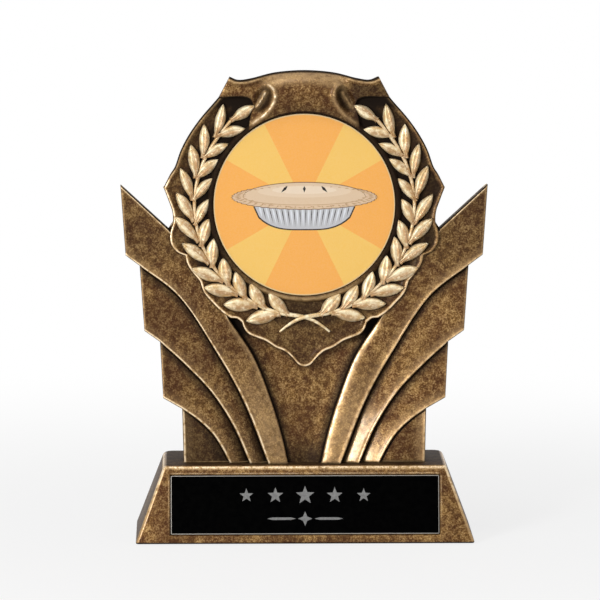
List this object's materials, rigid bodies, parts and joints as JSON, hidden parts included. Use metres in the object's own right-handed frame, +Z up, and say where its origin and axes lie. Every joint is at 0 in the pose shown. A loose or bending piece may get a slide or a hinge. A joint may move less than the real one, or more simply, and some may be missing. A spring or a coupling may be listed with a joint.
{
  "type": "laurel wreath award plaque on a base",
  "caption": "Leaning cast resin plaque with stepped fan wings, a laurel wreath round a printed centre disc and a scrolled crest, screwed to a sloped base with a black engraving plate.",
  "frame": {"origin": "centre of the underside of the felt pad, midway across the base's width and depth", "axes": "+X towards the viewer's right when the plaque is faced, the disc faces -Y, +Z up"},
  "size_m": [0.1028, 0.0396, 0.1317],
  "materials": {
    "bronze_resin": "satin antique bronze wash with gold rubbed edges",
    "printed_film": "glossy print",
    "white_sheet": "matt",
    "foam_tape": "matt",
    "black_plate": "satin black",
    "film_tape": "matt",
    "zinc_steel": "zinc plated",
    "felt": "napped felt"
  },
  "bodies": {
    "root": {"plaque": "bronze_resin", "base": "bronze_resin", "centre_print": "printed_film", "centre_backing_disc": "white_sheet", "centre_foam_pad": "foam_tape", "engraving_plate": "black_plate", "plate_adhesive": "film_tape", "fixing_screws": "zinc_steel", "fixing_washers": "zinc_steel", "felt_pad": "felt"}
  },
  "joints": []
}
